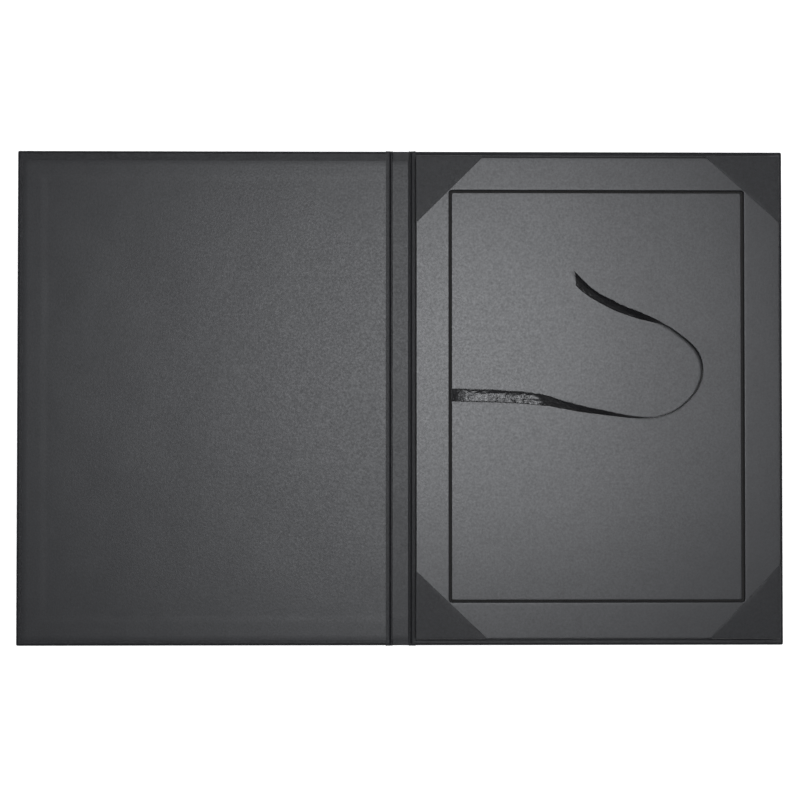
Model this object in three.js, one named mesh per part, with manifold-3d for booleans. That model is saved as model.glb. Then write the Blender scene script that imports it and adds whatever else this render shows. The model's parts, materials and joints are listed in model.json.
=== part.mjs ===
// Presentation box, open and flat: a book-style case whose right board carries a framed tray
// with a lift-out panel and a pull ribbon. Millimetres, +X right, +Y to the head, +Z up.
// The origin is the middle of the spine, on the underside.
import * as THREE from 'three';
import { mergeVertices } from 'three/addons/utils/BufferGeometryUtils.js';
import Module from 'manifold-3d';

// Case
const caseHeight = 364;
const coverWidth = 271;
const spineWidth = 12;
const boardThickness = 2;
const wrapThickness = 0.35;
const paperThickness = 0.25;
const glueLine = 0.02;
const turnIn = 20;

// Hinges
const hingeToSpine = 1.9;
const foldClearance = 0.3;
const gutterWidth = 1.5;
const hingeBulge = 0.4;
const hingeEndGap = 0.05;

// Liners
const linerHeadMargin = 7;
const linerTailMargin = 4;
const linerForeMargin = 4.2;
const linerHingeMargin = 0.15;
const linerRamp = 1.2;

// Tray
const trayHingeInset = 0.6;
const trayForeMargin = 4.5;
const trayHeadMargin = 4.7;
const trayTailMargin = 6.3;
const closingClearance = 0.8;
const frameBorderLeft = 24;
const frameBorderRight = 26;
const frameBorderHead = 25.5;
const frameBorderTail = 26.5;
const ledge = 4;
const cornerThickness = 0.35;
const cornerFlap = 7.5;
// Each corner piece's long edge runs through the window's corner at its own hand-cut slant, as a
// ratio of the way across to the way up
const cornerRatios = { topLeft: 1.01, topRight: 1.12, bottomLeft: 1.05, bottomRight: 0.96 };

// Panel and ribbon
const insertThickness = 1.2;
const insertGapLeft = 1.4;
const insertGapRight = 2;
const insertGapHead = 1.5;
const insertGapTail = 1.4;
const ribbonWidth = 9.3;
const ribbonThickness = 0.25;
const ribbonClearance = 0.3;
const ribbonTail = 22;
const ribbonFold = 0.55;
const ribbonRootY = 1.9;
const ribbonRootRun = 4;

// Levels, from the underside up
const boardBottom = wrapThickness + glueLine;
const boardTop = boardBottom + boardThickness;
const turnInBottom = boardTop + glueLine;
const turnInTop = turnInBottom + wrapThickness;
const linerBottom = turnInTop + glueLine;
const linerTop = linerBottom + paperThickness;
const hingeLevel = wrapThickness / 2;
const foldedThickness = linerTop - hingeLevel;

// Places across the case, measured from the middle of the spine
const spineEdge = spineWidth / 2;
const hingeX = spineEdge + hingeToSpine;
const boardInner = hingeX + foldedThickness + foldClearance;
const boardOuter = boardInner + coverWidth;
const headY = caseHeight / 2;
const wallOffset = wrapThickness + glueLine;

// Tray levels: the closed cover's inner face sets how high the tray may stand
const closedFace = hingeLevel + 2 * hingeToSpine + spineWidth - foldedThickness;
const frameTop = closedFace - closingClearance;
const frameBoardTop = frameTop - paperThickness - glueLine;
const frameBoardBottom = frameBoardTop - boardThickness;
const railTop = frameBoardBottom - glueLine;
const railBottom = turnInTop + glueLine;
const baseLinerBottom = boardTop + glueLine;
const baseLinerTop = baseLinerBottom + wrapThickness;

// Tray outline and window
const tray = {
  left: boardInner + trayHingeInset,
  right: boardOuter - trayForeMargin,
  bottom: -headY + trayTailMargin,
  top: headY - trayHeadMargin,
};
const frameWindow = {
  left: tray.left + frameBorderLeft,
  right: tray.right - frameBorderRight,
  bottom: tray.bottom + frameBorderTail,
  top: tray.top - frameBorderHead,
};
const insert = {
  left: frameWindow.left + insertGapLeft,
  right: frameWindow.right - insertGapRight,
  bottom: frameWindow.bottom + insertGapTail,
  top: frameWindow.top - insertGapHead,
};
const insertBottom = railTop + ribbonThickness + 2 * ribbonClearance;
const insertBoardTop = insertBottom + insertThickness;
const insertTop = insertBoardTop + glueLine + paperThickness;

const wasm = await Module();
wasm.setup();

const leatherette = () => new THREE.MeshStandardMaterial({ color: 0x3a3c40, roughness: 0.62, metalness: 0 });
const linerPaper = () => new THREE.MeshStandardMaterial({ color: 0x5d6066, roughness: 0.5, metalness: 0 });
const greyboard = () => new THREE.MeshStandardMaterial({ color: 0x6f6a62, roughness: 0.9, metalness: 0 });
const satin = () => new THREE.MeshStandardMaterial({ color: 0x1d1e21, roughness: 0.35, metalness: 0 });

// A rectangle {left, right, bottom, top} moved in by the same amount on every side
function inset(rect, by) {
  return {
    left: rect.left + by,
    right: rect.right - by,
    bottom: rect.bottom + by,
    top: rect.top - by,
  };
}

function rectanglePath(path, rect) {
  path.moveTo(rect.left, rect.bottom);
  path.lineTo(rect.right, rect.bottom);
  path.lineTo(rect.right, rect.top);
  path.lineTo(rect.left, rect.top);
  path.closePath();
  return path;
}

function extrudeUp(shape, low, high) {
  const geometry = new THREE.ExtrudeGeometry(shape, { depth: high - low, bevelEnabled: false });
  geometry.translate(0, 0, low);
  return geometry;
}

// A flat slab over a rectangle, with an optional rectangular hole
function slab(rect, low, high, hole) {
  const shape = rectanglePath(new THREE.Shape(), rect);
  if (hole) {
    shape.holes.push(rectanglePath(new THREE.Path(), hole));
  }
  return extrudeUp(shape, low, high);
}

function polygonPrism(points, low, high) {
  return extrudeUp(new THREE.Shape(points.map(([x, y]) => new THREE.Vector2(x, y))), low, high);
}

function toSolid(geometry) {
  const bare = geometry.index ? geometry.toNonIndexed() : geometry.clone();
  bare.deleteAttribute('normal');
  bare.deleteAttribute('uv');
  const merged = mergeVertices(bare, 1e-5);
  return new wasm.Manifold(new wasm.Mesh({
    numProp: 3,
    vertProperties: new Float32Array(merged.attributes.position.array),
    triVerts: new Uint32Array(merged.index.array),
  }));
}

function toGeometry(solid) {
  const mesh = solid.getMesh();
  const geometry = new THREE.BufferGeometry();
  geometry.setAttribute('position', new THREE.BufferAttribute(new Float32Array(mesh.vertProperties), 3));
  geometry.setIndex(new THREE.BufferAttribute(new Uint32Array(mesh.triVerts), 1));
  geometry.computeVertexNormals();
  return geometry;
}

function join(first, ...others) {
  return toGeometry(others.reduce((solid, geometry) => solid.add(toSolid(geometry)), toSolid(first)));
}

function cut(first, ...others) {
  return toGeometry(others.reduce((solid, geometry) => solid.subtract(toSolid(geometry)), toSolid(first)));
}

function piece(name, geometry, material) {
  const mesh = new THREE.Mesh(geometry, material);
  mesh.name = name;
  return mesh;
}

// The leatherette round a board: a flat outside, walls at the head, the tail and the fore edge,
// and a strip turned in over the board on those sides. The hinge sides stay open.
function wrapShell(outline, openLeft, openRight) {
  const past = 1;
  const block = slab(outline, 0, turnInTop);
  const hollow = {
    left: openLeft ? outline.left - past : outline.left + wrapThickness,
    right: openRight ? outline.right + past : outline.right - wrapThickness,
    bottom: outline.bottom + wrapThickness,
    top: outline.top - wrapThickness,
  };
  const mouth = {
    left: openLeft ? outline.left - past : outline.left + turnIn,
    right: openRight ? outline.right + past : outline.right - turnIn,
    bottom: outline.bottom + turnIn,
    top: outline.top - turnIn,
  };
  return cut(block, slab(hollow, wrapThickness, turnInBottom), slab(mouth, boardTop, turnInTop + past));
}

// The board inside its leatherette
function boardIn(outline, openLeft, openRight) {
  return slab({
    left: openLeft ? outline.left : outline.left + wallOffset,
    right: openRight ? outline.right : outline.right - wallOffset,
    bottom: outline.bottom + wallOffset,
    top: outline.top - wallOffset,
  }, boardBottom, boardTop);
}

// A paper liner that lies on the turned-in strips and drops to the board just inside them.
// rise(x, y) is 1 over a strip, 0 over the board, and a straight ramp between them.
function linerSheet(rect, strips) {
  const drop = turnInTop - boardTop;
  const stations = (low, high, lowStrip, highStrip) => {
    const list = [low];
    if (lowStrip !== null) {
      list.push(lowStrip, lowStrip + linerRamp);
    }
    if (highStrip !== null) {
      list.push(highStrip - linerRamp, highStrip);
    }
    list.push(high);
    return list;
  };
  const xs = stations(rect.left, rect.right, strips.left, strips.right);
  const ys = stations(rect.bottom, rect.top, strips.bottom, strips.top);
  const ramp = (past) => THREE.MathUtils.clamp(past / linerRamp, 0, 1);
  const geometry = new THREE.BoxGeometry(1, 1, 1, xs.length - 1, ys.length - 1, 1);
  const position = geometry.attributes.position;
  for (let i = 0; i < position.count; i += 1) {
    const x = xs[Math.round((position.getX(i) + 0.5) * (xs.length - 1))];
    const y = ys[Math.round((position.getY(i) + 0.5) * (ys.length - 1))];
    const inside = Math.min(
      strips.left === null ? 1 : ramp(x - strips.left),
      strips.right === null ? 1 : ramp(strips.right - x),
      strips.bottom === null ? 1 : ramp(y - strips.bottom),
      strips.top === null ? 1 : ramp(strips.top - y),
    );
    const level = position.getZ(i) > 0 ? linerTop : linerBottom;
    position.setXYZ(i, x, y, level - drop * inside);
  }
  return geometry;
}

// The hinge between the spine and the base. The outer cloth is flat. The inner cloth climbs the
// spine's edge, lies on the outer cloth in a gutter, and slopes up to the outer board over an
// open-ended hollow. The same hinge turned half round is the cover's.
function hingeCloth() {
  const from = spineEdge + hingeEndGap;
  const to = boardInner - hingeEndGap;
  const cloth = wrapThickness;
  const gutterEnd = from + gutterWidth;
  const outline = [
    [from, 0],
    [to, 0],
    [to, turnInTop],
    [to - cloth, turnInTop],
    [gutterEnd, 2 * cloth],
    [from + cloth, 2 * cloth],
    [from + cloth, turnInTop],
    [from, turnInTop],
  ];
  const hollow = [
    [gutterEnd + cloth, cloth],
    [to - cloth, cloth],
    [to - cloth, turnInTop - 2 * cloth],
  ];
  const shape = new THREE.Shape(outline.map(([x, z]) => new THREE.Vector2(x, z)));
  shape.holes.push(new THREE.Path(hollow.map(([x, z]) => new THREE.Vector2(x, z))));
  const length = caseHeight + 2 * hingeBulge;
  const geometry = new THREE.ExtrudeGeometry(shape, { depth: length, bevelEnabled: false });
  geometry.rotateX(Math.PI / 2);
  geometry.translate(0, length / 2, 0);
  return geometry;
}

// A leatherette corner on the tray: a triangle on the frame and a flap down each wall.
// towardX and towardY point from the corner into the tray.
function cornerPiece(x, y, towardX, towardY, borderX, borderY, slant) {
  const skin = cornerThickness + glueLine;
  const legX = borderX + borderY * slant;
  const legY = borderY + borderX / slant;
  const at = (along, across) => [x + towardX * along, y + towardY * across];
  const top = polygonPrism([
    at(-skin, -skin), at(legX, -skin), at(legX, 0), at(0, legY), at(-skin, legY),
  ], frameTop + glueLine, frameTop + skin);
  const flaps = polygonPrism([
    at(-skin, -skin), at(legX, -skin), at(legX, -glueLine),
    at(-glueLine, -glueLine), at(-glueLine, legY), at(-skin, legY),
  ], frameTop - cornerFlap, frameTop + skin);
  return join(top, flaps);
}

// The paper over the frame: its face, a skirt down each wall of the tray, and a lip down the
// window's edge.
function framePaper() {
  const face = slab(tray, frameTop - paperThickness, frameTop, frameWindow);
  const skirt = slab(tray, railBottom, frameTop, inset(tray, paperThickness));
  const lip = slab(inset(frameWindow, -paperThickness), frameBoardBottom, frameTop, frameWindow);
  return join(face, skirt, lip);
}

// The paper over the lift-out panel: its face and a skirt down each edge of the card
function insertPaper() {
  const face = slab(insert, insertTop - paperThickness, insertTop);
  const skirt = slab(insert, insertBottom, insertTop, inset(insert, paperThickness));
  return join(face, skirt);
}

// Spacer rails under the frame. They reach past the window's edge by the ledge.
function railRectangles() {
  const outer = inset(tray, paperThickness + glueLine);
  const inner = inset(frameWindow, ledge);
  return {
    rail_left: { left: outer.left, right: inner.left, bottom: outer.bottom, top: outer.top },
    rail_right: { left: inner.right, right: outer.right, bottom: outer.bottom, top: outer.top },
    rail_bottom: {
      left: inner.left + glueLine, right: inner.right - glueLine, bottom: outer.bottom, top: inner.bottom,
    },
    rail_top: {
      left: inner.left + glueLine, right: inner.right - glueLine, bottom: inner.top, top: outer.top,
    },
  };
}

// The ribbon's route from above: out of the left gap, along the panel, round a loop and back.
// Each point is [x, y, turn], where turn is how far the band has rolled on to its edge, in degrees.
const ribbonRoute = [
  [60, 1.5, 4],
  [78, 0.2, 30],
  [93, -0.9, 44],
  [106.5, -2.8, 51],
  [120, -6, 57],
  [133, -8.7, 61],
  [146, -10.7, 71],
  [159, -12.9, 78],
  [171.5, -14.5, 83],
  [182.5, -14.6, 88],
  [191.5, -13, 90],
  [200.8, -9, 90],
  [208.3, -3.4, 90],
  [215, 4.4, 90],
  [219.2, 13.6, 90],
  [220.4, 23, 90],
  [218.4, 31.2, 90],
  [213.8, 37.9, 92],
  [207, 44, 94],
  [198.2, 50.4, 97],
  [190.3, 54.2, 101],
  [182.5, 57.2, 108],
  [171.5, 60.9, 118],
  [159, 65.7, 124],
  [146, 72.2, 124],
  [135.4, 79.1, 126],
  [130.3, 84.3, 127],
];

// The band as a long box whose sections are carried along the route. The tail lies under the
// panel, the band folds up through the left gap, and then stands on the panel as it rolls.
function ribbonBand() {
  const over = insertTop + ribbonClearance + ribbonThickness / 2;
  const under = insertBottom - ribbonClearance - ribbonThickness / 2;
  const gapX = insert.left - ribbonClearance - ribbonThickness / 2;
  const flat = (x, z) => new THREE.Vector3(x, ribbonRootY, z);
  const tail = [
    flat(insert.left + ribbonTail, under),
    flat(gapX + ribbonFold, under),
    flat(gapX, under + ribbonFold),
    flat(gapX, over - ribbonFold),
    flat(gapX + ribbonFold, over),
    flat(gapX + ribbonRootRun, over),
  ];
  const root = [tail[tail.length - 1].x, ribbonRootY, 0];
  const run = new THREE.CatmullRomCurve3(
    [root, ...ribbonRoute].map(([x, y, turn]) => new THREE.Vector3(x, y, turn)),
    false,
    'centripetal',
  );
  const steps = 72;
  const centres = [...tail];
  const turns = tail.map(() => 0);
  for (let i = 1; i <= steps; i += 1) {
    const point = run.getPoint(i / steps);
    const turn = THREE.MathUtils.degToRad(point.z);
    turns.push(turn);
    centres.push(new THREE.Vector3(point.x, point.y, over + (ribbonWidth / 2) * Math.abs(Math.sin(turn))));
  }
  const last = centres.length - 1;
  const geometry = new THREE.BoxGeometry(1, 1, 1, last, 1, 1);
  const position = geometry.attributes.position;
  const up = new THREE.Vector3(0, 0, 1);
  for (let i = 0; i < position.count; i += 1) {
    const station = Math.round((position.getX(i) + 0.5) * last);
    const ahead = centres[Math.min(station + 1, last)].clone();
    const forward = ahead.sub(centres[Math.max(station - 1, 0)]).normalize();
    const plan = new THREE.Vector3(forward.x, forward.y, 0);
    const level = station < tail.length ? new THREE.Vector3(0, 1, 0) : up.clone().cross(plan).normalize();
    const standing = forward.clone().cross(level).normalize();
    const across = level.clone().multiplyScalar(Math.cos(turns[station]));
    across.addScaledVector(standing, Math.sin(turns[station]));
    const face = forward.clone().cross(across).normalize();
    const point = centres[station].clone();
    point.addScaledVector(across, position.getY(i) * ribbonWidth);
    point.addScaledVector(face, position.getZ(i) * ribbonThickness);
    position.setXYZ(i, point.x, point.y, point.z);
  }
  return geometry;
}

const coverOutline = { left: -boardOuter, right: -boardInner, bottom: -headY, top: headY };
const spineOutline = { left: -spineEdge, right: spineEdge, bottom: -headY, top: headY };
const baseOutline = { left: boardInner, right: boardOuter, bottom: -headY, top: headY };
const linerTopY = headY - linerHeadMargin;
const linerBottomY = -headY + linerTailMargin;
const strips = { left: null, right: null, bottom: -headY + turnIn, top: headY - turnIn };

const cover = new THREE.Group();
cover.add(piece('cover_board', boardIn(coverOutline, false, true), greyboard()));
cover.add(piece('cover_wrap', wrapShell(coverOutline, false, true), leatherette()));
cover.add(piece('cover_liner', linerSheet({
  left: coverOutline.left + linerForeMargin,
  right: coverOutline.right - linerHingeMargin,
  bottom: linerBottomY,
  top: linerTopY,
}, { ...strips, left: coverOutline.left + turnIn }), linerPaper()));
cover.add(piece('cover_hinge_cloth', hingeCloth().rotateZ(Math.PI), leatherette()));

const spine = new THREE.Group();
spine.add(piece('spine_board', boardIn(spineOutline, true, true), greyboard()));
spine.add(piece('spine_wrap', wrapShell(spineOutline, true, true), leatherette()));
spine.add(piece('spine_liner', linerSheet({
  left: spineOutline.left + linerHingeMargin,
  right: spineOutline.right - linerHingeMargin,
  bottom: linerBottomY,
  top: linerTopY,
}, strips), linerPaper()));

const base = new THREE.Group();
base.add(piece('base_board', boardIn(baseOutline, true, false), greyboard()));
base.add(piece('base_wrap', wrapShell(baseOutline, true, false), leatherette()));
base.add(piece('base_liner', slab({
  left: baseOutline.left + trayHingeInset,
  right: baseOutline.right - turnIn - foldClearance,
  bottom: baseOutline.bottom + turnIn + foldClearance,
  top: baseOutline.top - turnIn - foldClearance,
}, baseLinerBottom, baseLinerTop), linerPaper()));
base.add(piece('base_hinge_cloth', hingeCloth(), leatherette()));

const platform = new THREE.Group();
for (const [name, rect] of Object.entries(railRectangles())) {
  platform.add(piece(name, slab(rect, railBottom, railTop), greyboard()));
}
platform.add(piece('frame_board', slab(
  inset(tray, paperThickness + glueLine), frameBoardBottom, frameBoardTop,
  inset(frameWindow, -paperThickness - glueLine),
), greyboard()));
platform.add(piece('frame_paper', framePaper(), linerPaper()));
const corners = [
  ['corner_top_left', tray.left, tray.top, 1, -1, frameBorderLeft, frameBorderHead, cornerRatios.topLeft],
  ['corner_top_right', tray.right, tray.top, -1, -1, frameBorderRight, frameBorderHead,
    cornerRatios.topRight],
  ['corner_bottom_left', tray.left, tray.bottom, 1, 1, frameBorderLeft, frameBorderTail,
    cornerRatios.bottomLeft],
  ['corner_bottom_right', tray.right, tray.bottom, -1, 1, frameBorderRight, frameBorderTail,
    cornerRatios.bottomRight],
];
for (const [name, ...place] of corners) {
  platform.add(piece(name, cornerPiece(...place), leatherette()));
}

const panel = new THREE.Group();
panel.add(piece('insert_board', slab(
  inset(insert, paperThickness + glueLine), insertBottom, insertBoardTop,
), greyboard()));
panel.add(piece('insert_paper', insertPaper(), linerPaper()));
panel.add(piece('pull_ribbon', ribbonBand(), satin()));

base.add(platform, panel);
const box = new THREE.Group();
box.add(cover, spine, base);
export default box;
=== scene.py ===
"""Looks of a presentation box that lies open: a book-style hard case whose right board carries a
framed tray with a lift-out panel and a satin pull ribbon.

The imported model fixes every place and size. Each class below dresses one sub-assembly: it reads
where its solids lie, works out finer surfaces with numpy, and gives each surface its finish.
All lengths are metres, +X to the right, +Y to the head of the box and +Z up.
"""

import json
import logging
import math
from dataclasses import dataclass
from enum import Enum
from typing import Sequence

import bmesh
import bpy
import numpy as np
from mathutils import Matrix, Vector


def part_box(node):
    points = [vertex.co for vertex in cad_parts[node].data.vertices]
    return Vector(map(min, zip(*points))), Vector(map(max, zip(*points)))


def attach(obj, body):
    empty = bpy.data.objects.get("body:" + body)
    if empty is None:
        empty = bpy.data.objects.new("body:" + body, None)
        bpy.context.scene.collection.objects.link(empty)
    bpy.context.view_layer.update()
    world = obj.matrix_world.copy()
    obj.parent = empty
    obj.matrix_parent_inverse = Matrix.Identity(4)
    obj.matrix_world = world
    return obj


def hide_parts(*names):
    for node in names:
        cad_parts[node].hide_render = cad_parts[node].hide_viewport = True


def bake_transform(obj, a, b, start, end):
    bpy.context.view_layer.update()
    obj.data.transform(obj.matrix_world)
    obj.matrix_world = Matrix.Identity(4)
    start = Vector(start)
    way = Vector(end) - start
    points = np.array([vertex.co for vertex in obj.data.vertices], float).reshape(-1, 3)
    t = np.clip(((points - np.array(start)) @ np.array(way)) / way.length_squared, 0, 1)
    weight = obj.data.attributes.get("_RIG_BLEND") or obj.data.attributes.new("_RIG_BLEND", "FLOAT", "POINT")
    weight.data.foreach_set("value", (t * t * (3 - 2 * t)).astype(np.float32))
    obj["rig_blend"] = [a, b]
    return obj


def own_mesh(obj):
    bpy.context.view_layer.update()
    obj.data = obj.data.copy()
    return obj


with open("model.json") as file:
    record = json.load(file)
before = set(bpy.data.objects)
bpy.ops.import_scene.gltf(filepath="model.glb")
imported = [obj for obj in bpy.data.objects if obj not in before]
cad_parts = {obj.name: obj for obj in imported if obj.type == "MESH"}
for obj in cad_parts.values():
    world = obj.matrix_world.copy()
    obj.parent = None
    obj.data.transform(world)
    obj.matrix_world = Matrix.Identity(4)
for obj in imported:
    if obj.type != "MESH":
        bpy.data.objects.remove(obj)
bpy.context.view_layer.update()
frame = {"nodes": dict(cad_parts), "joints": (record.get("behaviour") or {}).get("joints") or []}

Array = np.ndarray
Colour = tuple[float, float, float]
Span = tuple[float, float]
Node = bpy.types.Node
Piece = bpy.types.Object
MM = 0.001
log = logging.getLogger("presentation_box")


class OpenSide(Enum):
    """The side of a board where its leatherette runs on into the hinge."""

    NONE = 0
    LEFT = 1
    RIGHT = 2


@dataclass(frozen=True)
class Rect:
    """A rectangle seen from above."""

    left: float
    right: float
    bottom: float
    top: float

    @classmethod
    def of(cls, *nodes: str) -> "Rect":
        """Return the rectangle that these CAD nodes cover, seen from above.

        Args:
            nodes: Names of one or more CAD nodes.

        Returns:
            The rectangle round them all.
        """
        corners = np.array([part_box(node) for node in nodes])
        low, high = corners[:, 0].min(0), corners[:, 1].max(0)
        return cls(low[0], high[0], low[1], high[1])

    def inset(self, by: float) -> "Rect":
        """Return the rectangle moved in by this much on every side."""
        return Rect(self.left + by, self.right - by, self.bottom + by, self.top - by)

    def tip(self, along_x: int, along_y: int) -> Array:
        """Return the corner on the right (+1) or left (-1), and at the top (+1) or bottom (-1).

        Args:
            along_x: +1 for the right side, -1 for the left.
            along_y: +1 for the top, -1 for the bottom.

        Returns:
            The corner's place (2,).
        """
        x = self.right if along_x > 0 else self.left
        y = self.top if along_y > 0 else self.bottom
        return np.array([x, y])


# Surfaces


def filleted(corners: Sequence[tuple[float, float, float]], steps: int = 6) -> Array:
    """Round the corners of an open outline.

    Each inner corner becomes an arc that touches both of its sides: the arc's centre lies on the
    corner's bisector, and its points are centre + u cos a + v sin a, where u points from the centre
    to the first touching point and v along the incoming side.

    Args:
        corners: Points (first, second, radius). The first and last radius are not used.
        steps: Spans in each arc.

    Returns:
        The rounded outline as an array of points (count, 2).
    """
    at = np.array([c[:2] for c in corners], float)
    pieces = [at[:1]]
    for before, here, after, (_, _, radius) in zip(at, at[1:], at[2:], corners[1:]):
        way_in = (here - before) / np.linalg.norm(here - before)
        way_out = (after - here) / np.linalg.norm(after - here)
        turn = math.acos(float(np.clip(way_in @ way_out, -1, 1)))
        if radius <= 0 or turn < 1e-3:
            pieces.append(here[None])
            continue
        toward = (way_out - way_in) / np.linalg.norm(way_out - way_in)
        centre = here + toward * radius / math.cos(turn / 2)
        first = here - way_in * radius * math.tan(turn / 2) - centre
        angle = np.linspace(0, turn, steps + 1)[:, None]
        pieces.append(centre + first * np.cos(angle) + way_in * radius * np.sin(angle))
    pieces.append(at[-1:])
    return np.concatenate(pieces)


@dataclass(frozen=True)
class Outline:
    """A rectangle whose inset copies keep mitred corners, open on one side for a hinge.

    radius rounds its corners in plan. A station is a place along the outline.
    """

    rect: Rect
    radius: float
    open_side: OpenSide = OpenSide.NONE
    corner_steps: int = 5
    side_steps: int = 24

    def corner(self, along_x: int, along_y: int, inset: Array) -> Array:
        """Return the plan points of one corner at each inset.

        A point is c + e max(radius - d, 0) + m max(d - radius, 0): c is the arc's centre, e the
        outward direction on the arc, m the inward diagonal and d the inset. Past the radius the
        arc has shrunk to a mitred point.

        Args:
            along_x: +1 for a corner on the right, -1 for one on the left.
            along_y: +1 for a corner at the top, -1 for one at the bottom.
            inset: Distances in from the outline, (count,).

        Returns:
            Points (corner_steps + 1, count, 2), in anticlockwise order.
        """
        inward = np.array([-along_x, -along_y], float)
        centre = self.rect.tip(along_x, along_y) + inward * self.radius
        first = {(-1, -1): 2, (1, -1): 3, (1, 1): 0, (-1, 1): 1}[(along_x, along_y)]
        angle = (first + np.linspace(0, 1, self.corner_steps + 1)) * math.pi / 2
        outward = np.stack([np.cos(angle), np.sin(angle)], -1)[:, None, :]
        on_arc = np.maximum(self.radius - inset, 0)[None, :, None]
        past_arc = np.maximum(inset - self.radius, 0)[None, :, None]
        return centre + outward * on_arc + inward * past_arc

    def hinge_end(self, along_x: int, along_y: int, inset: Array) -> Array:
        """Return the one station at an end of an open outline: it moves in along Y only."""
        x, y = self.rect.tip(along_x, along_y)
        return np.stack([np.full_like(inset, x), y - along_y * inset], -1)[None]

    def stations(self, inset: Array) -> Array:
        """Return plan points (stations, insets, 2) in anticlockwise order.

        Straight sides are filled in by linear steps between neighbouring corners.

        Args:
            inset: Distances in from the outline, (count,).

        Returns:
            Plan points (stations, count, 2).
        """
        corners = [(-1, -1), (1, -1), (1, 1), (-1, 1)]
        if self.open_side is OpenSide.RIGHT:
            corners = corners[2:] + corners[:2]
        stops = [self.corner(x, y, inset) for x, y in corners]
        if self.open_side is OpenSide.NONE:
            stops.append(stops[0][:1])
        else:
            stops[0] = self.hinge_end(*corners[0], inset)
            stops[-1] = self.hinge_end(*corners[-1], inset)
        rows = [stops[0]]
        for before, after in zip(stops, stops[1:]):
            share = np.linspace(0, 1, self.side_steps + 1)[1:-1, None, None]
            rows.append(before[-1] + (after[0] - before[-1]) * share)
            rows.append(after)
        line = np.concatenate(rows)
        return line[:-1] if self.open_side is OpenSide.NONE else line

    def swept(self, profile: Array) -> Array:
        """Carry a profile along the outline.

        Args:
            profile: Points (inset, height), (count, 2).

        Returns:
            Surface points (stations, count, 3): the plan point at each inset, at that height.
        """
        plan = self.stations(profile[:, 0])
        height = np.broadcast_to(profile[:, 1], plan.shape[:2])
        return np.concatenate([plan, height[..., None]], -1)


@dataclass(frozen=True)
class Swell:
    """A gentle unevenness, as of glued paper: a sum of seeded sine waves over the plan."""

    height: float
    longest: float
    seed: int
    waves: int = 9

    def at(self, x: Array, y: Array) -> Array:
        """Return the height at plan places: the mean of sines with random ways and phases.

        Args:
            x: Places along X.
            y: Places along Y.

        Returns:
            Heights above the even surface.
        """
        random = np.random.default_rng(self.seed)
        way = random.uniform(0, math.tau, self.waves)
        length = self.longest * random.uniform(0.35, 1, self.waves)
        phase = random.uniform(0, math.tau, self.waves)
        across = x[..., None] * np.cos(way) + y[..., None] * np.sin(way)
        return self.height * np.sin(math.tau * across / length + phase).mean(-1)


def smooth_step(share: Array) -> Array:
    """Return 3s^2 - 2s^3 of the share held between 0 and 1."""
    held = np.clip(share, 0, 1)
    return held * held * (3 - 2 * held)


def run_length(line: Array) -> Array:
    """Return how far along a line each of its points lies."""
    return np.concatenate([[0], np.cumsum(np.linalg.norm(np.diff(line, axis=0), axis=1))])


def grid_piece(name: str, points: Array, closed: bool = False, uv: Array | None = None) -> Piece:
    """Make a mesh object from a grid of points, one quad for each cell.

    The faces point along (first parameter) x (second parameter).

    Args:
        name: The piece's name.
        points: Grid of points (rows, columns, 3) in metres.
        closed: Whether the last row joins the first.
        uv: Texture places (rows, columns, 2), or None.

    Returns:
        The linked object, with doubled points merged and shading smooth.
    """
    rows, columns = points.shape[:2]
    index = np.arange(rows * columns).reshape(rows, columns)
    ring = np.vstack([index, index[:1]]) if closed else index
    quads = np.stack([ring[:-1, :-1], ring[1:, :-1], ring[1:, 1:], ring[:-1, 1:]], -1).reshape(-1, 4)
    mesh = bpy.data.meshes.new(name)
    mesh.from_pydata(points.reshape(-1, 3).tolist(), [], quads.tolist())
    if uv is not None:
        layer = mesh.uv_layers.new(name="weave")
        layer.uv.foreach_set("vector", uv.reshape(-1, 2)[quads.ravel()].astype(np.float32).ravel())
    merged = bmesh.new()
    merged.from_mesh(mesh)
    bmesh.ops.remove_doubles(merged, verts=merged.verts, dist=1e-6)
    merged.to_mesh(mesh)
    merged.free()
    mesh.shade_smooth()
    piece = bpy.data.objects.new(name, mesh)
    bpy.context.scene.collection.objects.link(piece)
    return piece


def thicken(piece: Piece, thickness: float, at_once: bool = False) -> Piece:
    """Give a sheet its thickness on the side away from its faces, and square, even shading.

    Args:
        piece: The sheet.
        thickness: Its thickness in metres.
        at_once: Whether the thickness goes into the mesh now.

    Returns:
        The same piece.
    """
    solid = piece.modifiers.new("thickness", "SOLIDIFY")
    solid.thickness = thickness
    solid.offset = -1
    solid.use_even_offset = True
    if at_once:
        ready = piece.evaluated_get(bpy.context.evaluated_depsgraph_get())
        piece.data = bpy.data.meshes.new_from_object(ready)
        piece.modifiers.clear()
    normals = piece.modifiers.new("even shading", "WEIGHTED_NORMAL")
    normals.weight = 80
    return piece


# Finishes


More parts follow.
